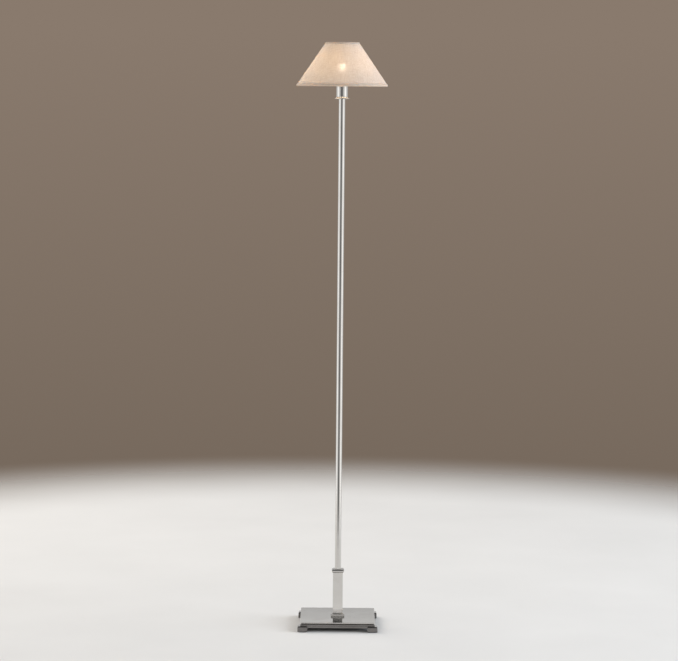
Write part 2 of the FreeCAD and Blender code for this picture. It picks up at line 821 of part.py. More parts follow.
def lead(side):
    """From a terminal, down the nipple, the pole and the rod, and out along the base's channel."""
    floor = SKIRT_BOTTOM + COVER_THICK + LEAD_R + 0.4
    near, wide = side * LEAD_OFFSET, side * (CONNECTOR_R + 0.7)
    return bent_wire(
        [
            Vector(side * 6.4, 0, TERMINAL_LOW),
            Vector(side * 6.4, 0, TERMINAL_LOW - 3.0),
            Vector(near, 0, TERMINAL_LOW - 3.4),
            Vector(near, 0, floor),
            Vector(near, 14, floor),
            Vector(wide, 26, INLET_Z),
            Vector(wide, 34, INLET_Z),
        ],
        LEAD_R,
        LEAD_BEND,
    )


def lead_connectors():
    """Two closed crimp caps in the channel, where the incoming cord would be joined."""
    caps = []
    for side in (-1, 1):
        x = side * (CONNECTOR_R + 0.7)
        cap = rod(CONNECTOR_R, (x, 34, INLET_Z), (x, 34 + CONNECTOR_LONG, INLET_Z))
        far = [e for e in cap.Edges if e.BoundBox.YMin > 34 + CONNECTOR_LONG - 1e-3]
        caps.append(cap.makeFillet(1.2, far))
    return Part.makeCompound(caps)


CORNERS = {
    "front_left": (-1, -1),
    "front_right": (1, -1),
    "back_left": (-1, 1),
    "back_right": (1, 1),
}
SINGLE_PARTS = [
    base_top_plate,
    base_skirt,
    ballast_block,
    bottom_cover,
    foot_screws,
    cord_bushing,
    column_plinth,
    column_tube,
    column_cap,
    tie_rod,
    rod_washer,
    rod_nut,
    pole_lower,
    pole_upper,
    pole_bottom_plug,
    pole_coupler,
    pole_top_plug,
    top_nipple,
    socket_cup,
    holder_cap,
    holder_body,
    screw_shell,
    centre_contact,
    terminals,
    terminal_screws,
    switch_leaves,
    switch_bushing,
    switch_shaft,
    switch_cam,
    switch_knob,
    shade_retaining_ring,
    bulb_glass,
    bulb_cap,
    bulb_insulator,
    bulb_tip,
    bulb_stem,
    bulb_filament,
    shade_linen,
    shade_liner,
    shade_top_ring,
    shade_bottom_ring,
    shade_top_hem,
    shade_bottom_hem,
    shade_fitter_ring,
    lead_connectors,
]


def build():
    """Every node's name and shape."""
    parts = {make.__name__: make() for make in SINGLE_PARTS}
    for corner, sides in CORNERS.items():
        parts[f"foot_{corner}"] = foot(*sides)
        parts[f"foot_pad_{corner}"] = foot_pad(*sides)
    for k, degrees in enumerate(SPOKE_ANGLES, start=1):
        parts[f"shade_spoke_{k}"] = shade_spoke(degrees)
    for name, side in (("live", -1), ("neutral", 1)):
        parts[f"lead_{name}"] = lead(side)
    return parts


def main():
    os.makedirs("parts", exist_ok=True)
    for name, shape in build().items():
        if not shape.isValid() or not shape.Solids:
            raise SystemExit(f"{name} isn't a valid solid")
        shape.exportStep(f"parts/{name}.step")


main()
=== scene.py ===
"""Looks for a candlestick floor lamp in polished nickel with a coned linen shade.

The metalwork, the lampholder and the bulb are the model's own solids with new finishes. The shade's
cloth, its rolled hems and its back seam are modelled here and ride on the shade.
"""

import math

import bpy
from bpy.props import FloatProperty, FloatVectorProperty, IntProperty, PointerProperty
from mathutils import Matrix, Vector


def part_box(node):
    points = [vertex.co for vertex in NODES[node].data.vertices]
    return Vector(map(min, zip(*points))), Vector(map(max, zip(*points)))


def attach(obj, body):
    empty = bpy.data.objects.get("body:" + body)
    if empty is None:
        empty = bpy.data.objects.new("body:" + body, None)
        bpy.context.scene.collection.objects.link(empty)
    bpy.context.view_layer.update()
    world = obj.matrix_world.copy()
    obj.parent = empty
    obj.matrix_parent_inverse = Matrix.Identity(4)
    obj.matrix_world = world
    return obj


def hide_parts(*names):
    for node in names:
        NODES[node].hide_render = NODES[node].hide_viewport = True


bl_info = {
    "name": "Candlestick Floor Lamp",
    "version": (1, 0, 0),
    "blender": (4, 5, 0),
    "location": "View3D > Sidebar > Floor Lamp",
    "description": "Finishes a nickel floor lamp and makes its linen shade",
    "category": "Add Mesh",
}

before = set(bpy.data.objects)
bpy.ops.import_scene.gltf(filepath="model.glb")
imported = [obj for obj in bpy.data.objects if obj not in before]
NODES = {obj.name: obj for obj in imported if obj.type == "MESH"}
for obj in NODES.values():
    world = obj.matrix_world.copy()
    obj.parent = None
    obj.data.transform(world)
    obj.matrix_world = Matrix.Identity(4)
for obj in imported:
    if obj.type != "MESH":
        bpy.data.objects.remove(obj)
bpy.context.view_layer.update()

WAVE_TURN = 2 * math.pi / 20  # a Wave texture of scale 1 repeats after this distance
CORNERS = ("front_left", "front_right", "back_left", "back_right")


def srgb(code):
    """A hex colour as linear red, green, blue and alpha."""
    parts = [int(code[i : i + 2], 16) / 255 for i in (1, 3, 5)]
    return (*[p / 12.92 if p <= 0.04045 else ((p + 0.055) / 1.055) ** 2.4 for p in parts], 1.0)


# The shade's cone, from the two wire rings that it is stretched on.


def ring_line(node):
    """The middle of a wire ring's section, on the +X side, and the wire's radius."""
    low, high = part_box(node)
    wire = (high.z - low.z) / 2
    return Vector((high.x - wire, 0, (low.z + high.z) / 2)), wire


LOW_RING, WIRE_R = ring_line("shade_bottom_ring")
HIGH_RING = ring_line("shade_top_ring")[0]
SLANT = (HIGH_RING - LOW_RING).normalized()
SLANT_LONG = (HIGH_RING - LOW_RING).length
OUTWARD = Vector((SLANT.z, 0, -SLANT.x))
HEM_R = LOW_RING.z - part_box("shade_bottom_hem")[0].z


def on_shade(along, out):
    """A point in the shade's section: how far up the slant, and how far out from the rings' line."""
    return LOW_RING + SLANT * along + OUTWARD * out


# Settings that a user would change.


class FloorLampShade(bpy.types.PropertyGroup):
    """Sizes and colours of the shade."""

    thread_spacing: FloatProperty(
        name="Thread Spacing",
        description="Distance between neighbouring threads of the linen",
        default=0.0009,
        unit="LENGTH",
    )
    slub_wide: FloatProperty(
        name="Slub Width",
        description="Width of the linen's thick threads",
        default=0.0034,
        unit="LENGTH",
    )
    slub_long: FloatProperty(
        name="Slub Length",
        description="Length of the linen's thick threads",
        default=0.021,
        unit="LENGTH",
    )
    hem_leg: FloatProperty(
        name="Hem Leg",
        description="How far the rolled hem reaches up the cloth from the wire",
        default=0.0030,
        unit="LENGTH",
    )
    seam_wide: FloatProperty(
        name="Seam Width",
        description="Width of the lapped seam at the back",
        default=0.0070,
        unit="LENGTH",
    )
    facets: IntProperty(
        name="Facets",
        description="Number of faces round the shade",
        default=256,
        min=32,
    )
    thread_colour: FloatVectorProperty(
        name="Linen",
        description="Colour of the linen in daylight",
        subtype="COLOR",
        size=4,
        default=srgb("#e0e1e4"),
    )
    slub_colour: FloatVectorProperty(
        name="Slub",
        description="Colour of the linen's thick threads",
        subtype="COLOR",
        size=4,
        default=srgb("#aeabaa"),
    )


class FloorLampLight(bpy.types.PropertyGroup):
    """The bulb's light."""

    power: FloatProperty(
        name="Power",
        description="Light that the bulb gives, in watts of light",
        default=0.57,
        min=0,
    )
    colour: FloatVectorProperty(
        name="Colour",
        description="Colour of the bulb's light",
        subtype="COLOR",
        size=3,
        default=srgb("#ffe4c8")[:3],
    )


class FloorLampStage(bpy.types.PropertyGroup):
    """The studio."""

    floor_middle: FloatProperty(
        name="Floor Middle",
        description="How far behind the lamp the middle of the round floor is",
        default=0.55,
        unit="LENGTH",
    )
    floor_radius: FloatProperty(
        name="Floor Radius",
        description="Where the round floor has half faded into the backdrop",
        default=2.0,
        unit="LENGTH",
    )
    eye_height: FloatProperty(
        name="Eye Height",
        description="Height of the camera",
        default=1.3804,
        unit="LENGTH",
    )
    eye_distance: FloatProperty(
        name="Eye Distance",
        description="Level distance from the camera to the lamp",
        default=6.563,
        unit="LENGTH",
    )


# Shared helpers.


def add_node(tree, kind, inputs=None, stops=None, **settings):
    """Adds a node with its settings, its inputs set or linked, and its ramp's stops."""
    node = tree.nodes.new(kind)
    for name, value in settings.items():
        setattr(node, name, value)
    for name, value in (inputs or {}).items():
        if isinstance(value, bpy.types.NodeSocket):
            tree.links.new(value, node.inputs[name])
        else:
            node.inputs[name].default_value = value
    for k, (position, colour) in enumerate(stops or []):
        ramp = node.color_ramp.elements
        stop = ramp[k] if k < 2 else ramp.new(position)
        stop.position, stop.color = position, colour
    return node


def new_material(name):
    """An empty material and its node tree."""
    material = bpy.data.materials.new(name)
    material.use_nodes = True
    material.node_tree.nodes.clear()
    return material, material.node_tree


def give(material, *names):
    """Puts a material on CAD nodes."""
    for name in names:
        for material_slot in NODES[name].material_slots:
            material_slot.material = material


def start_clean():
    """Object mode with nothing selected."""
    if bpy.context.object and bpy.context.object.mode != "OBJECT":
        bpy.ops.object.mode_set(mode="OBJECT")
    bpy.ops.object.select_all(action="DESELECT")


def select_none(kind):
    """Object mode with no vertex, edge or face selected. The kind is what gets selected next."""
    bpy.ops.object.mode_set(mode="EDIT")
    bpy.ops.mesh.select_mode(type=kind)
    bpy.ops.mesh.select_all(action="DESELECT")
    bpy.ops.object.mode_set(mode="OBJECT")


def select_vertices(obj, wanted):
    """Edit mode with just the vertices that pass a test selected."""
    select_none("VERT")
    for vertex in obj.data.vertices:
        vertex.select = wanted(vertex.co)
    bpy.ops.object.mode_set(mode="EDIT")


def select_edges(obj, wanted):
    """Edit mode with just the edges whose two ends pass a test selected."""
    select_none("EDGE")
    points = [vertex.co for vertex in obj.data.vertices]
    for edge in obj.data.edges:
        edge.select = wanted(*[points[k] for k in edge.vertices])
    bpy.ops.object.mode_set(mode="EDIT")


def settle(obj):
    """Puts an object's place, turn and scale into its mesh."""
    start_clean()
    obj.select_set(True)
    bpy.context.view_layer.objects.active = obj
    bpy.ops.object.transform_apply(location=True, rotation=True, scale=True)


def apply_modifier(obj, kind, **settings):
    """Adds a modifier to the active object and applies it."""
    bpy.ops.object.mode_set(mode="OBJECT")
    bpy.ops.object.modifier_add(type=kind)
    modifier = obj.modifiers[-1]
    for name, value in settings.items():
        setattr(modifier, name, value)
    bpy.ops.object.modifier_apply(modifier=modifier.name)


def unevenness(name, size):
    """A soft cloud texture for a Displace modifier."""
    texture = bpy.data.textures.new(name, "CLOUDS")
    texture.noise_scale = size
    return texture


# Metal finishes. Sizes are in metres.

SMUDGE = 0.035
WHEEL_LINE_APART = 0.0004
WHEEL_LINE_LONG = 0.04
WHEEL_LINE_DEEP = 0.0000015
RIPPLE = 0.02
RIPPLE_DEEP = 0.00003
SOFT_EDGE = 0.0004
WEAR = 0.07  # how much rougher handling makes a finish
POLISHED = ("#dbd9d6", "#d3d0cc")


def nickel(name, plate, dull, crown=0.0, painted_dark_sides=None):
    """Nickel plate over brass, buffed on a wheel.

    The eye gets a bright, slightly warm mirror with softened edges. Faint buffing lines and the
    dull patches that handling leaves break up its reflections. A sheet is also a little rounded by
    the wheel: crown is the fall at the square of the distance from its middle, per metre. Given
    dark side colours, upright faces are painted darker than faces turned up: painted shade that
    keeps low parts darker than the pale floor they mirror would make them.
    """
    material, tree = new_material(name)
    place = add_node(tree, "ShaderNodeTexCoord").outputs["Object"]
    smudge = add_node(
        tree,
        "ShaderNodeTexNoise",
        {"Vector": place, "Scale": 1 / SMUDGE, "Detail": 4.0, "Roughness": 0.6},
    ).outputs["Fac"]
    roughness = add_node(
        tree,
        "ShaderNodeMapRange",
        {"Value": smudge, "From Min": 0.35, "From Max": 0.75, "To Min": dull, "To Max": dull + WEAR},
    )
    tint = add_node(
        tree,
        "ShaderNodeValToRGB",
        {"Fac": smudge},
        stops=[(0.3, srgb(plate[0])), (0.75, srgb(plate[1]))],
    ).outputs["Color"]
    # Painted shade: upright faces get the dark side colours, and faces turned up keep the plate's colour.
    if painted_dark_sides:
        facing = add_node(tree, "ShaderNodeNewGeometry").outputs["Normal"]
        level = add_node(tree, "ShaderNodeSeparateXYZ", {"Vector": facing}).outputs["Z"]
        facing_up = add_node(tree, "ShaderNodeMapRange", {"Value": level, "From Min": 0.7, "From Max": 0.95})
        painted_side_shade = add_node(
            tree,
            "ShaderNodeValToRGB",
            {"Fac": smudge},
            stops=[(0.3, srgb(painted_dark_sides[0])), (0.75, srgb(painted_dark_sides[1]))],
        )
        tint = add_node(
            tree,
            "ShaderNodeMix",
            {0: facing_up.outputs["Result"], 6: painted_side_shade.outputs["Color"], 7: tint},
            data_type="RGBA",
        ).outputs[2]
    # The wheel's lines run along the height.
    stretch = (1.0, 1.0, WHEEL_LINE_APART / WHEEL_LINE_LONG)
    drawn = add_node(tree, "ShaderNodeMapping", {"Vector": place, "Scale": stretch})
    lines = add_node(
        tree,
        "ShaderNodeTexNoise",
        {"Vector": drawn.outputs["Vector"], "Scale": 1 / WHEEL_LINE_APART, "Detail": 1.0},
    )
    ripple = add_node(tree, "ShaderNodeTexNoise", {"Vector": place, "Scale": 1 / RIPPLE, "Detail": 1.0})
    edge = add_node(tree, "ShaderNodeBevel", {"Radius": SOFT_EDGE}, samples=4).outputs["Normal"]
    if crown:
        square = add_node(tree, "ShaderNodeVectorMath", {0: place, 1: place}, operation="DOT_PRODUCT")
        fall = add_node(tree, "ShaderNodeMath", {0: square.outputs["Value"], 1: -crown}, operation="MULTIPLY")
        edge = add_node(
            tree, "ShaderNodeBump", {"Height": fall.outputs["Value"], "Distance": 1.0, "Normal": edge}
        ).outputs["Normal"]
    swell = add_node(
        tree,
        "ShaderNodeBump",
        {"Height": ripple.outputs["Fac"], "Distance": RIPPLE_DEEP, "Normal": edge},
    )
    buffed = add_node(
        tree,
        "ShaderNodeBump",
        {"Height": lines.outputs["Fac"], "Distance": WHEEL_LINE_DEEP, "Normal": swell.outputs["Normal"]},
    )
    shader = add_node(
        tree,
        "ShaderNodeBsdfPrincipled",
        {
            "Base Color": tint,
            "Metallic": 1.0,
            "Roughness": roughness.outputs["Result"],
            "Normal": buffed.outputs["Normal"],
        },
    )
    add_node(tree, "ShaderNodeOutputMaterial", {"Surface": shader.outputs["BSDF"]})
    return material


def plain_finish(name, light, dark, metallic, roughness, grain, depth, coat=0.0):
    """A finish of two near colours in a grain of a real size, with a bump of the same grain.

    It is worn a little smoother and rougher in patches a dozen grains wide.
    """
    material, tree = new_material(name)
    place = add_node(tree, "ShaderNodeTexCoord").outputs["Object"]
    noise = add_node(
        tree, "ShaderNodeTexNoise", {"Vector": place, "Scale": 1 / grain, "Detail": 5.0, "Roughness": 0.65}
    )
    patches = add_node(
        tree, "ShaderNodeTexNoise", {"Vector": place, "Scale": 1 / (grain * 12), "Detail": 3.0}
    )
    colour = add_node(
        tree,
        "ShaderNodeValToRGB",
        {"Fac": noise.outputs["Fac"]},
        stops=[(0.35, srgb(dark)), (0.65, srgb(light))],
    )
    worn = add_node(
        tree,
        "ShaderNodeMapRange",
        {
            "Value": patches.outputs["Fac"],
            "From Min": 0.3,
            "From Max": 0.7,
            "To Min": max(roughness - WEAR, 0.02),
            "To Max": roughness + WEAR,
        },
    )
    bump = add_node(tree, "ShaderNodeBump", {"Height": noise.outputs["Fac"], "Distance": depth})
    shader = add_node(
        tree,
        "ShaderNodeBsdfPrincipled",
        {
            "Base Color": colour.outputs["Color"],
            "Metallic": metallic,
            "Roughness": worn.outputs["Result"],
            "Normal": bump.outputs["Normal"],
            "Coat Weight": coat,
        },
    )
    add_node(tree, "ShaderNodeOutputMaterial", {"Surface": shader.outputs["BSDF"]})
    return material


def cast_iron():
    # Sand-cast and left rough: dark grey with a 0.8 mm grain.
    return plain_finish("sand_cast_iron", "#4a4845", "#2d2c2b", 1.0, 0.62, 0.0008, 0.0002)


def black_enamel():
    # Stoved enamel on sheet steel: near black, a soft gloss with a faint orange peel.
    return plain_finish("black_stoved_enamel", "#1b1a1a", "#141414", 0.0, 0.34, 0.0015, 0.00002)


def zinc_plate():
    # Clear zinc plate on turned steel: pale blue-grey and satin.
    return plain_finish("clear_zinc_plate", "#c3c6c9", "#a5a8ab", 1.0, 0.32, 0.0006, 0.00001)


def rolled_brass():
    # Half-hard brass strip: yellow, dulled by handling.
    return plain_finish("half_hard_brass", "#d9b46c", "#b98f49", 1.0, 0.28, 0.0009, 0.00001)


def pressed_urea():
    # Ivory urea moulding: hard, smooth and glossy, with a faint flow mottle.
    return plain_finish("ivory_urea_moulding", "#ece6d8", "#e2dac9", 0.0, 0.24, 0.003, 0.00001, coat=0.2)


def black_nylon():
    # Moulded nylon: black with a fine spark-eroded texture.
    return plain_finish("black_moulded_nylon", "#222222", "#181818", 0.0, 0.5, 0.0003, 0.00003)


def black_vitrite():
    # The black glass that insulates a bulb's cap.
    return plain_finish("black_vitrite_glass", "#121214", "#0b0b0c", 0.0, 0.12, 0.002, 0.00001)


def foam_rubber():
    # Dense black rubber sheet: matt, with a 0.5 mm grain.
    return plain_finish("dense_rubber_sheet", "#242322", "#181817", 0.0, 0.8, 0.0005, 0.0001)


def lead_sheath(name, light, dark):
    # Soft PVC: even and slightly waxy.
    return plain_finish(name, light, dark, 0.0, 0.42, 0.004, 0.00001)


def white_powder_coat():
    # Powder coat on drawn wire: white, with the fine peel of a baked powder.
    return plain_finish("white_powder_coat", "#efece6", "#e4e0d8", 0.0, 0.4, 0.0006, 0.00002)


# The cloth. Heights are in metres.

THREAD_HIGH = 0.00025
TAPE_THREAD_HIGH = 0.0002
TAPE_SLUB = 0.006


def weave(tree, place, spacing, details):
    """Where the threads lie on top, both ways."""
    threads = [
        add_node(
            tree,
            "ShaderNodeTexWave",
            {"Vector": place, "Scale": WAVE_TURN / spacing, **details},
            bands_direction=way,
        ).outputs["Fac"]
        for way in ("X", "Y")
    ]
    both = add_node(tree, "ShaderNodeMath", {0: threads[0], 1: threads[1]}, operation="MULTIPLY")
    return both.outputs["Value"]


def slubbed_linen(settings):
    """Slubbed linen on a clear liner.

    The eye gets a warm cream cloth with uneven thick threads both ways. It is matt in daylight, and
    darker where the threads are thick when the bulb shines through it. Inside, the liner shows as
    plain white.
    """
    material, tree = new_material("slubbed_linen")
    flat = add_node(tree, "ShaderNodeUVMap", uv_map="cut").outputs["UV"]
    details = {"Distortion": 1.2, "Detail": 2.0, "Detail Scale": 1.5}
    threads = weave(tree, flat, settings.thread_spacing, details)
    # A slub is drawn as wide as it needs to be to show from across a room.
    wide, long = settings.slub_wide, settings.slub_long
    slubs = []
    for scale in ((1 / long, 1 / wide, 1.0), (1 / wide, 1 / long, 1.0)):
        drawn = add_node(tree, "ShaderNodeMapping", {"Vector": flat, "Scale": scale})
        slubs.append(
            add_node(
                tree,
                "ShaderNodeTexNoise",
                {"Vector": drawn.outputs["Vector"], "Scale": 1.0, "Detail": 3.0, "Roughness": 0.7},
            ).outputs["Fac"]
        )
    slub = add_node(tree, "ShaderNodeMath", {0: slubs[0], 1: slubs[1]}, operation="MAXIMUM")
    thick = add_node(
        tree,
        "ShaderNodeMapRange",
        {"Value": slub.outputs["Value"], "From Min": 0.42, "From Max": 0.78},
    ).outputs["Result"]
    height = add_node(tree, "ShaderNodeMath", {0: thick, 1: 0.9, 2: threads}, operation="MULTIPLY_ADD")
    pale, deep = settings.thread_colour, settings.slub_colour
    cloth = add_node(tree, "ShaderNodeValToRGB", {"Fac": thick}, stops=[(0.0, pale), (1.0, deep)])
    shaded = add_node(
        tree,
        "ShaderNodeMix",
        {0: threads, 6: deep, 7: cloth.outputs["Color"]},
        data_type="RGBA",
    )
    inside = add_node(tree, "ShaderNodeNewGeometry").outputs["Backfacing"]
    liner = add_node(
        tree,
        "ShaderNodeMix",
        {0: inside, 6: shaded.outputs[2], 7: srgb("#c4c1bb")},
        data_type="RGBA",
    )
    through = add_node(
        tree,
        "ShaderNodeValToRGB",
        {"Fac": thick},
        stops=[(0.0, srgb("#ffe9c4")), (0.5, srgb("#f5d6a8")), (1.0, srgb("#b98e5e"))],
    )
    bump = add_node(tree, "ShaderNodeBump", {"Height": height.outputs["Value"], "Distance": THREAD_HIGH})
    face = add_node(
        tree,
        "ShaderNodeBsdfPrincipled",
        {
            "Base Color": liner.outputs[2],
            "Roughness": 0.85,
            "IOR": 1.07,
            "Transmission Weight": 0.008,
            "Sheen Weight": 0.1,
            "Normal": bump.outputs["Normal"],
        },
    )
    glow = add_node(
        tree,
        "ShaderNodeBsdfTranslucent",
        {"Color": through.outputs["Color"], "Normal": bump.outputs["Normal"]},
    )
    lets_through = add_node(tree, "ShaderNodeMapRange", {"Value": inside, "To Min": 0.22, "To Max": 0.2})
    shader = add_node(
        tree,
        "ShaderNodeMixShader",
        {0: lets_through.outputs["Result"], 1: face.outputs["BSDF"], 2: glow.outputs["BSDF"]},
    )
    add_node(tree, "ShaderNodeOutputMaterial", {"Surface": shader.outputs["Shader"]})
    return material


def linen_tape(settings):
    """The same linen cut on the bias and rolled over a wire, in three layers.

    The eye gets a thicker, slightly darker cloth with a diagonal weave.
    """
    material, tree = new_material("linen_bias_tape")
    place = add_node(tree, "ShaderNodeTexCoord").outputs["Object"]
    turned = add_node(
        tree, "ShaderNodeMapping", {"Vector": place, "Rotation": (0.6, 0.5, math.radians(45))}
    ).outputs["Vector"]
    threads = weave(tree, turned, settings.thread_spacing, {"Distortion": 1.0, "Detail": 1.0})
    slub = add_node(
        tree,
        "ShaderNodeTexNoise",
        {"Vector": place, "Scale": 1 / TAPE_SLUB, "Detail": 4.0, "Roughness": 0.7},
    )
    cloth = add_node(
        tree,
        "ShaderNodeValToRGB",
        {"Fac": slub.outputs["Fac"]},
        stops=[(0.35, srgb("#e8e2da")), (0.7, srgb("#d3cbc0"))],
    )
    bump = add_node(tree, "ShaderNodeBump", {"Height": threads, "Distance": TAPE_THREAD_HIGH})
    face = add_node(
        tree,
        "ShaderNodeBsdfPrincipled",
        {
            "Base Color": cloth.outputs["Color"],
            "Roughness": 0.88,
            "Sheen Weight": 0.15,
            "Specular IOR Level": 0.25,
            "Normal": bump.outputs["Normal"],
        },
    )
    glow = add_node(tree, "ShaderNodeBsdfTranslucent", {"Color": srgb("#fbdcb0")})
    shader = add_node(
        tree, "ShaderNodeMixShader", {0: 0.42, 1: face.outputs["BSDF"], 2: glow.outputs["BSDF"]}
    )
    add_node(tree, "ShaderNodeOutputMaterial", {"Surface": shader.outputs["Shader"]})
    return material


# The bulb. Sizes are in metres.

COAT_CLOUD = 0.012
COIL = 0.002
LIGHT_R = 0.008
DOWNWARD = 1.45  # from level to straight up, the light falls by e to this power


def frosted_glass():
    """Soda glass with a silica coat inside: milky, and it glows evenly when the bulb is lit."""
    material, tree = new_material("frosted_bulb_glass")
    place = add_node(tree, "ShaderNodeTexCoord").outputs["Object"]
    coat = add_node(tree, "ShaderNodeTexNoise", {"Vector": place, "Scale": 1 / COAT_CLOUD, "Detail": 2.0})
    colour = add_node(
        tree,
        "ShaderNodeValToRGB",
        {"Fac": coat.outputs["Fac"]},
        stops=[(0.3, srgb("#f6f3ec")), (0.7, srgb("#fffdf8"))],
    )
    face = add_node(
        tree,
        "ShaderNodeBsdfPrincipled",
        {"Base Color": colour.outputs["Color"], "Roughness": 0.18, "IOR": 1.5},
    )
    glow = add_node(tree, "ShaderNodeBsdfTranslucent", {"Color": colour.outputs["Color"]})
    shader = add_node(
        tree, "ShaderNodeMixShader", {0: 0.3, 1: face.outputs["BSDF"], 2: glow.outputs["BSDF"]}
    )
    add_node(tree, "ShaderNodeOutputMaterial", {"Surface": shader.outputs["Shader"]})
    return material


def hot_tungsten():
    """Coiled tungsten wire at about 2700 K: a bright orange-white thread."""
    material, tree = new_material("hot_tungsten_coil")
    place = add_node(tree, "ShaderNodeTexCoord").outputs["Object"]
    coil = add_node(tree, "ShaderNodeTexNoise", {"Vector": place, "Scale": 1 / COIL})
    colour = add_node(
        tree,
        "ShaderNodeValToRGB",
        {"Fac": coil.outputs["Fac"]},
        stops=[(0.3, srgb("#ffc27a")), (0.7, srgb("#ffd9a6"))],
    )
    shader = add_node(tree, "ShaderNodeEmission", {"Color": colour.outputs["Color"], "Strength": 6.0})
    add_node(tree, "ShaderNodeOutputMaterial", {"Surface": shader.outputs["Emission"]})
    return material


# The studio. Metal mirrors a room in bands. Each has its brightness at bearings in degrees to the
# right of the way to the camera, and the degrees above eye level where it starts and is full.

SCREENS = (
    (-180, 0.25),
    (180, 0.25),
    (-168, 0.45),
    (-150, 0.62),
    (-104, 0.90),
    (-82, 1.55),
    (-62, 0.95),
    (-34, 0.50),
    (-14, 0.18),
    (-3, 0.07),
    (6, 0.16),
    (14, 0.36),
    (26, 0.62),
    (50, 0.95),
    (72, 1.60),
    (92, 1.05),
    (122, 0.62),
    (150, 0.60),
    (168, 0.45),
)
CARD = ((-180, 0.50), (180, 0.50), (-60, 0.80), (-12, 1.00), (12, 1.00), (60, 0.80))
CARD_EDGE = ((-180, 0.55), (180, 0.55), (-60, 0.60), (-10, 0.42), (10, 0.42), (60, 0.60))
FLAG = ((-180, 0.62), (180, 0.62), (-16, 0.60), (-6, 0.01), (6, 0.01), (16, 0.60))
UPPER = ((0, 0.60), (180, 0.60))
CEILING = ((-180, 0.72), (180, 0.72), (-105, 0.72), (-60, 0.16), (60, 0.16), (105, 0.72))
BANDS = (
    (SCREENS, None, None),
    (CARD, 5.0, 8.5),
    (CARD_EDGE, 10.0, 10.8),
    (FLAG, 12.5, 13.2),
    (UPPER, 15.0, 18.0),
    (CEILING, 38, 60),
)
ROOM_TINT = (1.0, 0.995, 0.985)

# Each soft light's place, size, power and colour.
LIGHTS = {
    "back_left": ((-3.0, 2.2, 3.2), 2.8, 105, "#fff9f2"),
    "fill_front": ((-2.6, -5.0, 2.0), 3.0, 25, "#fbfcff"),
    "key_right": ((5.2, -0.9, 2.6), 4.0, 285, "#eaf3ff"),
}
LIGHTS_AIM = Vector((0, 0, 0.3))

# The floor's rim, and where it starts and ends to fade, in floor radii.
FLOOR_RIM = 1.4
FADE_STARTS = 0.72
FADE_ENDS = 1.28
FLOOR_MOTTLE = 0.35

LENS = 137.37
CAMERA_LEFT = 0.0026
CAMERA_PITCH = 5.397
CAMERA_ROLL = 0.5


# Operators: one for each piece or group of like pieces.


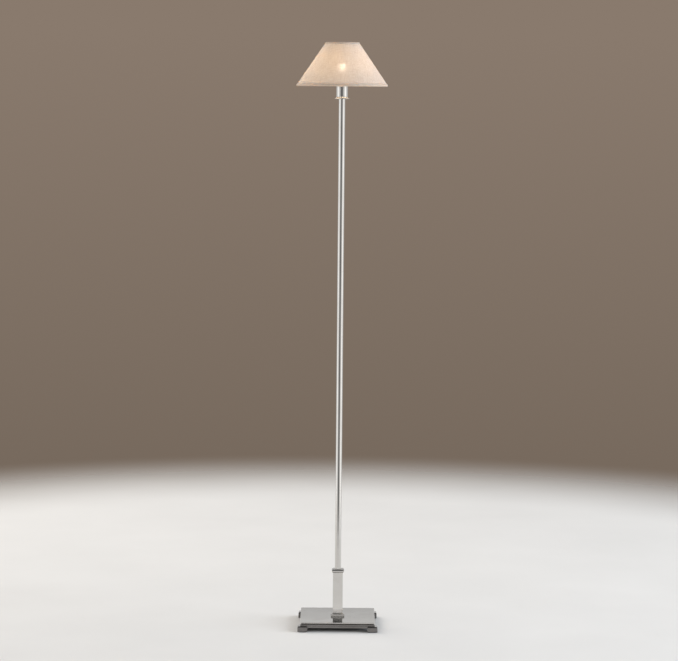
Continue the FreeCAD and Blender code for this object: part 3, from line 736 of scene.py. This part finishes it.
class FLOORLAMP_OT_stage(bpy.types.Operator):
    """Adds the floor, the studio's light and the camera"""

    bl_idname = "floor_lamp.stage"
    bl_label = "Add Stage"

    def execute(self, context):
        settings = context.scene.floor_lamp_stage
        start_clean()
        bpy.ops.mesh.primitive_circle_add(
            vertices=96,
            radius=settings.floor_radius * FLOOR_RIM,
            fill_type="NGON",
            location=(0, settings.floor_middle, 0),
        )
        floor = context.object
        floor.name = "stage_floor"
        settle(floor)
        floor.data.materials.append(self.floor_paint(settings))
        self.studio_world(context.scene)
        for name, values in LIGHTS.items():
            self.soft_light(context, name, *values)
        self.camera(context, settings)
        context.scene.view_settings.view_transform = "Standard"
        return {"FINISHED"}

    def floor_paint(self, settings):
        """Pale matt floor paint with a faint roller mottle.

        It fades out towards the floor's rim and can't be seen from below.
        """
        material, tree = new_material("pale_floor_paint")
        place = add_node(tree, "ShaderNodeTexCoord").outputs["Object"]
        mottle = add_node(
            tree, "ShaderNodeTexNoise", {"Vector": place, "Scale": 1 / FLOOR_MOTTLE, "Detail": 4.0}
        )
        colour = add_node(
            tree,
            "ShaderNodeValToRGB",
            {"Fac": mottle.outputs["Fac"]},
            stops=[(0.2, srgb("#dcdad7")), (0.8, srgb("#e2e0dd"))],
        )
        shader = add_node(
            tree,
            "ShaderNodeBsdfPrincipled",
            {"Base Color": colour.outputs["Color"], "Roughness": 0.75, "Specular IOR Level": 0.2},
        )
        away = add_node(
            tree, "ShaderNodeVectorMath", {0: place, 1: (0, settings.floor_middle, 0)}, operation="DISTANCE"
        )
        fade = add_node(
            tree,
            "ShaderNodeMapRange",
            {
                "Value": away.outputs["Value"],
                "From Min": settings.floor_radius * FADE_STARTS,
                "From Max": settings.floor_radius * FADE_ENDS,
            },
            interpolation_type="SMOOTHSTEP",
        )
        below = add_node(tree, "ShaderNodeNewGeometry").outputs["Backfacing"]
        gone = add_node(tree, "ShaderNodeMath", {0: fade.outputs["Result"], 1: below}, operation="MAXIMUM")
        clear = add_node(tree, "ShaderNodeBsdfTransparent")
        blend = add_node(
            tree,
            "ShaderNodeMixShader",
            {0: gone.outputs["Value"], 1: shader.outputs["BSDF"], 2: clear.outputs["BSDF"]},
        )
        add_node(tree, "ShaderNodeOutputMaterial", {"Surface": blend.outputs["Shader"]})
        return material

    def studio_world(self, scene):
        """A backdrop to look at, painted darker towards the floor, and wide pale screens with dark gaps for
        metal to mirror.
        """
        world = bpy.data.worlds.new("studio")
        scene.world = world
        world.use_nodes = True
        tree = world.node_tree
        tree.nodes.clear()
        way = add_node(tree, "ShaderNodeTexCoord").outputs["Generated"]
        axes = add_node(tree, "ShaderNodeSeparateXYZ", {"Vector": way})
        forward = add_node(tree, "ShaderNodeMath", {0: axes.outputs["Y"], 1: -1.0}, operation="MULTIPLY")
        bearing = add_node(
            tree, "ShaderNodeMath", {0: axes.outputs["X"], 1: forward.outputs["Value"]}, operation="ARCTAN2"
        )
        turn = add_node(
            tree,
            "ShaderNodeMapRange",
            {"Value": bearing.outputs["Value"], "From Min": -math.pi, "From Max": math.pi},
        )
        # From eye level up: screens, a card and its edge, a dark flag, the upper room, the ceiling.
        room = None
        for levels, low, high in BANDS:
            stops = [
                ((degrees + 180) / 360, (*[level * part for part in ROOM_TINT], 1))
                for degrees, level in levels
            ]
            band = add_node(
                tree, "ShaderNodeValToRGB", {"Fac": turn.outputs["Result"]}, stops=stops
            ).outputs["Color"]
            if room is None:
                room = band
                continue
            above = add_node(
                tree,
                "ShaderNodeMapRange",
                {
                    "Value": axes.outputs["Z"],
                    "From Min": math.sin(math.radians(low)),
                    "From Max": math.sin(math.radians(high)),
                },
                interpolation_type="SMOOTHSTEP",
            )
            room = add_node(
                tree, "ShaderNodeMix", {0: above.outputs["Result"], 6: room, 7: band}, data_type="RGBA"
            ).outputs[2]
        # The backdrop seen by the camera is painted darker towards the floor: painted shade.
        height = add_node(
            tree, "ShaderNodeMapRange", {"Value": axes.outputs["Z"], "From Min": -0.16, "From Max": 0.02}
        )
        drop = add_node(
            tree,
            "ShaderNodeValToRGB",
            {"Fac": height.outputs["Result"]},
            stops=[(0.0, srgb("#75685c")), (1.0, srgb("#897a6d"))],
        )
        seen = add_node(tree, "ShaderNodeLightPath").outputs["Is Camera Ray"]
        colour = add_node(
            tree, "ShaderNodeMix", {0: seen, 6: room, 7: drop.outputs["Color"]}, data_type="RGBA"
        )
        background = add_node(tree, "ShaderNodeBackground", {"Color": colour.outputs[2], "Strength": 1.0})
        add_node(tree, "ShaderNodeOutputWorld", {"Surface": background.outputs["Background"]})

    def soft_light(self, context, name, place, size, power, colour):
        """A big soft light aimed at the lamp's foot. Metal doesn't mirror it."""
        data = bpy.data.lights.new(name, "AREA")
        data.size = size
        data.energy = power
        data.color = srgb(colour)[:3]
        light = bpy.data.objects.new(name, data)
        context.scene.collection.objects.link(light)
        light.location = place
        light.rotation_euler = (LIGHTS_AIM - Vector(place)).to_track_quat("-Z", "Y").to_euler()
        light.visible_glossy = False
        light.visible_camera = False

    def camera(self, context, settings):
        """A long lens at the shade's foot, tilted down a little and rolled half a degree."""
        data = bpy.data.cameras.new("camera")
        data.sensor_width = 36.0
        data.lens = LENS
        camera = bpy.data.objects.new("camera", data)
        context.scene.collection.objects.link(camera)
        pitch = Matrix.Rotation(math.radians(90 - CAMERA_PITCH), 4, "X")
        roll = Matrix.Rotation(math.radians(CAMERA_ROLL), 4, "Z")
        place = (-CAMERA_LEFT, -settings.eye_distance, settings.eye_height)
        camera.matrix_world = Matrix.Translation(place) @ (pitch @ roll)
        context.scene.camera = camera


class FLOORLAMP_OT_metalwork(bpy.types.Operator):
    """Finishes the base, the column, the pole, the cup and the switch"""

    bl_idname = "floor_lamp.metalwork"
    bl_label = "Finish Metalwork"

    def execute(self, context):
        bright = nickel("polished_nickel", POLISHED, 0.06)
        give(nickel("polished_nickel_sheet", POLISHED, 0.06, crown=0.1), "base_top_plate")
        give(
            bright,
            "column_plinth",
            "column_tube",
            "column_cap",
            "pole_lower",
            "pole_upper",
            "socket_cup",
            "switch_bushing",
            "switch_shaft",
            "switch_knob",
            "shade_fitter_ring",
            "shade_spoke_1",
            "shade_spoke_2",
            "shade_spoke_3",
        )
        # The skirt and feet: a rougher nickel with painted shade on their upright faces, darker than their
        # tops.
        low = nickel("dulled_nickel_painted_dark_sides", ("#dbd9d6", "#cfccc8"), 0.1, painted_dark_sides=("#838180", "#757270"))
        give(low, "base_skirt", *[f"foot_{corner}" for corner in CORNERS])
        return {"FINISHED"}


class FLOORLAMP_OT_fittings(bpy.types.Operator):
    """Finishes the ballast, the rods, the lampholder, the pads and the leads"""

    bl_idname = "floor_lamp.fittings"
    bl_label = "Finish Fittings"

    def execute(self, context):
        give(cast_iron(), "ballast_block")
        give(black_enamel(), "bottom_cover")
        give(
            zinc_plate(),
            "foot_screws",
            "tie_rod",
            "rod_washer",
            "rod_nut",
            "pole_bottom_plug",
            "pole_coupler",
            "pole_top_plug",
            "top_nipple",
            "holder_cap",
            "terminal_screws",
        )
        give(rolled_brass(), "screw_shell", "centre_contact", "terminals", "switch_leaves", "bulb_tip")
        give(pressed_urea(), "holder_body", "shade_retaining_ring")
        give(black_nylon(), "cord_bushing", "switch_cam", "lead_connectors")
        give(foam_rubber(), *[f"foot_pad_{corner}" for corner in CORNERS])
        give(lead_sheath("brown_pvc_sheath", "#6b4630", "#5a3927"), "lead_live")
        give(lead_sheath("blue_pvc_sheath", "#2f5f9c", "#274f84"), "lead_neutral")
        give(white_powder_coat(), "shade_top_ring", "shade_bottom_ring")
        return {"FINISHED"}


class FLOORLAMP_OT_bulb(bpy.types.Operator):
    """Finishes the bulb and lights it"""

    bl_idname = "floor_lamp.bulb"
    bl_label = "Light Bulb"

    def execute(self, context):
        settings = context.scene.floor_lamp_light
        give(frosted_glass(), "bulb_glass", "bulb_stem")
        give(hot_tungsten(), "bulb_filament")
        give(black_vitrite(), "bulb_insulator")
        give(nickel("bulb_cap_nickel", ("#d2cec8", "#bfb9b1"), 0.2), "bulb_cap")
        for name in ("bulb_glass", "bulb_stem", "bulb_filament"):
            NODES[name].visible_shadow = False
            NODES[name].visible_glossy = False
        low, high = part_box("bulb_glass")
        data = bpy.data.lights.new("bulb_light", "POINT")
        data.energy = settings.power
        data.color = settings.colour
        data.shadow_soft_size = LIGHT_R
        light = bpy.data.objects.new("bulb_light", data)
        context.scene.collection.objects.link(light)
        light.location = (0, 0, high.z - (high.x - low.x) / 2)
        light.visible_glossy = False
        data.use_nodes = True
        tree = data.node_tree
        tree.nodes.clear()
        way = add_node(tree, "ShaderNodeTexCoord").outputs["Normal"]
        rise = add_node(tree, "ShaderNodeSeparateXYZ", {"Vector": way}).outputs["Z"]
        # The crown of the globe is coated more thickly, so it throws more light down than up.
        steep = add_node(tree, "ShaderNodeMath", {0: rise, 1: -DOWNWARD}, operation="MULTIPLY")
        spread = add_node(tree, "ShaderNodeMath", {0: steep.outputs["Value"]}, operation="EXPONENT")
        emission = add_node(tree, "ShaderNodeEmission", {"Strength": spread.outputs["Value"]})
        add_node(tree, "ShaderNodeOutputLight", {"Surface": emission.outputs["Emission"]})
        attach(light, "bulb")
        return {"FINISHED"}


CLOTH_OUT = 0.0006  # how far the cloth lies out from the wire's surface
CLOTH_CUTS = 40
CLOTH_WAVE_LONG = 0.05
CLOTH_WAVE_HIGH = 0.0005
TAPE_WAVE_LONG = 0.012
TAPE_WAVE_HIGH = 0.0004
SEAM_OUT = 0.0008
SEAM_THICK = 0.0006
SEAM_CUTS = 30


class FLOORLAMP_OT_linen(bpy.types.Operator):
    """Makes the shade's cloth, stretched over the two wire rings"""

    bl_idname = "floor_lamp.linen"
    bl_label = "Make Linen"

    def execute(self, context):
        settings = context.scene.floor_lamp_shade
        out = WIRE_R + CLOTH_OUT
        low, high = on_shade(0, out), on_shade(SLANT_LONG, out)
        start_clean()
        bpy.ops.mesh.primitive_cone_add(
            vertices=settings.facets,
            radius1=low.x,
            radius2=high.x,
            depth=high.z - low.z,
            end_fill_type="NOTHING",
            location=(0, 0, (low.z + high.z) / 2),
        )
        cloth = context.object
        cloth.name = "shade_cloth"
        settle(cloth)
        select_edges(cloth, lambda a, b: abs(a.z - b.z) > 1e-4)
        bpy.ops.mesh.subdivide(number_cuts=CLOTH_CUTS)
        bpy.ops.object.mode_set(mode="OBJECT")
        # Laminated cloth is never quite round: it waves by a quarter of a millimetre.
        waves = unevenness("cloth_waves", CLOTH_WAVE_LONG)
        apply_modifier(cloth, "DISPLACE", texture=waves, strength=CLOTH_WAVE_HIGH, mid_level=0.5)
        bpy.ops.object.shade_smooth()
        self.lay_flat(cloth, low, high)
        cloth.data.materials.clear()
        cloth.data.materials.append(slubbed_linen(settings))
        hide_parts("shade_linen", "shade_liner")
        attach(cloth, "shade")
        return {"FINISHED"}

    def lay_flat(self, cloth, low, high):
        """A UV map in metres of the cut: the cone unrolled, with its opening at the back."""
        # The share of a full turn that the cut spans, and the height of the cone's tip.
        share = (low.x - high.x) / math.hypot(low.x - high.x, high.z - low.z)
        tip = low.z + low.x / (low.x - high.x) * (high.z - low.z)
        steep = math.sqrt(1 - share**2)
        layers = cloth.data.uv_layers
        while layers:
            layers.remove(layers[0])
        layer = layers.new(name="cut")
        for face in cloth.data.polygons:
            middle = math.atan2(face.center.x, -face.center.y)
            for loop in face.loop_indices:
                co = cloth.data.vertices[cloth.data.loops[loop].vertex_index].co
                angle = math.atan2(co.x, -co.y)
                # A face at the opening keeps both its ends on the same side.
                if angle - middle > math.pi:
                    angle -= 2 * math.pi
                elif middle - angle > math.pi:
                    angle += 2 * math.pi
                reach = (tip - co.z) / steep
                layer.data[loop].uv = (reach * math.sin(angle * share), -reach * math.cos(angle * share))


class FLOORLAMP_OT_hems(bpy.types.Operator):
    """Makes the rolled hems over the two wire rings"""

    bl_idname = "floor_lamp.hems"
    bl_label = "Make Hems"

    def execute(self, context):
        settings = context.scene.floor_lamp_shade
        tape = linen_tape(settings)
        for name, ring, way, node in (
            ("shade_hem_foot", LOW_RING, 1, "shade_bottom_hem"),
            ("shade_hem_top", HIGH_RING, -1, "shade_top_hem"),
        ):
            # The hem at the top is turned over less.
            leg = settings.hem_leg if way > 0 else settings.hem_leg / 3
            hem = self.roll(name, ring, SLANT * way, leg)
            hem.data.materials.clear()
            hem.data.materials.append(tape)
            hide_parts(node)
            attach(hem, "shade")
        return {"FINISHED"}

    def roll(self, name, ring, along, leg):
        """A round section drawn out up the cloth, then spun about the pole's axis."""
        start_clean()
        bpy.ops.mesh.primitive_circle_add(
            vertices=24, radius=HEM_R, location=ring, rotation=(math.pi / 2, 0, 0), fill_type="NOTHING"
        )
        hem = bpy.context.object
        hem.name = name
        settle(hem)
        select_vertices(hem, lambda co: (co - ring).dot(along) > 0.1 * HEM_R)
        bpy.ops.transform.translate(value=along * leg)
        # The tape lies flat where it meets the cloth.
        select_vertices(hem, lambda co: (co - ring).dot(along) > leg + 0.5 * HEM_R)
        bpy.ops.transform.translate(value=along * -0.4 * HEM_R)
        bpy.ops.mesh.select_all(action="SELECT")
        bpy.ops.mesh.spin(
            steps=bpy.context.scene.floor_lamp_shade.facets,
            angle=2 * math.pi,
            center=(0, 0, 0),
            axis=(0, 0, 1),
            use_auto_merge=True,
        )
        bpy.ops.mesh.select_all(action="SELECT")
        bpy.ops.mesh.remove_doubles(threshold=0.00002)
        bpy.ops.mesh.normals_make_consistent(inside=False)
        # Most of the tape's waves go inwards, so that the hem keeps inside its ring's size.
        waves = unevenness(name, TAPE_WAVE_LONG)
        apply_modifier(hem, "DISPLACE", texture=waves, strength=TAPE_WAVE_HIGH, mid_level=0.75)
        bpy.ops.object.shade_smooth()
        return hem


class FLOORLAMP_OT_seam(bpy.types.Operator):
    """Makes the lapped seam at the back of the shade"""

    bl_idname = "floor_lamp.seam"
    bl_label = "Make Back Seam"

    def execute(self, context):
        settings = context.scene.floor_lamp_shade
        start_clean()
        inset = settings.hem_leg * 0.5
        out = WIRE_R + SEAM_OUT
        low, high = on_shade(inset, out), on_shade(SLANT_LONG - inset, out)
        bpy.ops.mesh.primitive_plane_add(size=1)
        seam = context.object
        seam.name = "shade_seam"
        seam.scale = (settings.seam_wide, (high - low).length, 1)
        lean = math.atan2(high.z - low.z, low.x - high.x)
        seam.rotation_euler = (math.pi - lean, 0, 0)
        seam.location = (0, (low.x + high.x) / 2, (low.z + high.z) / 2)
        settle(seam)
        select_edges(seam, lambda a, b: abs(a.z - b.z) > 0.01)
        bpy.ops.mesh.subdivide(number_cuts=SEAM_CUTS)
        bpy.ops.object.mode_set(mode="OBJECT")
        apply_modifier(seam, "SOLIDIFY", thickness=SEAM_THICK, offset=0.0)
        apply_modifier(seam, "BEVEL", width=0.0002, segments=2, limit_method="ANGLE")
        bpy.ops.object.shade_smooth_by_angle(angle=math.radians(40))
        seam.data.materials.clear()
        seam.data.materials.append(linen_tape(settings))
        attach(seam, "shade")
        return {"FINISHED"}


STEPS = (
    "stage",
    "metalwork",
    "fittings",
    "bulb",
    "linen",
    "hems",
    "seam",
)


class FLOORLAMP_PT_panel(bpy.types.Panel):
    """Lists the lamp's settings and the operators in their order"""

    bl_idname = "FLOORLAMP_PT_panel"
    bl_label = "Floor Lamp"
    bl_space_type = "VIEW_3D"
    bl_region_type = "UI"
    bl_category = "Floor Lamp"

    def draw(self, context):
        for group in ("floor_lamp_shade", "floor_lamp_light", "floor_lamp_stage"):
            settings = getattr(context.scene, group)
            box = self.layout.box()
            for name in settings.__annotations__:
                box.prop(settings, name)
        for step in STEPS:
            self.layout.operator(f"floor_lamp.{step}")


GROUPS = {
    "floor_lamp_shade": FloorLampShade,
    "floor_lamp_light": FloorLampLight,
    "floor_lamp_stage": FloorLampStage,
}
CLASSES = (
    *GROUPS.values(),
    FLOORLAMP_OT_stage,
    FLOORLAMP_OT_metalwork,
    FLOORLAMP_OT_fittings,
    FLOORLAMP_OT_bulb,
    FLOORLAMP_OT_linen,
    FLOORLAMP_OT_hems,
    FLOORLAMP_OT_seam,
    FLOORLAMP_PT_panel,
)


def register():
    for cls in CLASSES:
        bpy.utils.register_class(cls)
    for name, group in GROUPS.items():
        setattr(bpy.types.Scene, name, PointerProperty(type=group))


def unregister():
    for name in GROUPS:
        delattr(bpy.types.Scene, name)
    for cls in reversed(CLASSES):
        bpy.utils.unregister_class(cls)


def main():
    register()
    for step in STEPS:
        getattr(bpy.ops.floor_lamp, step)()


if __name__ == "__main__":
    main()
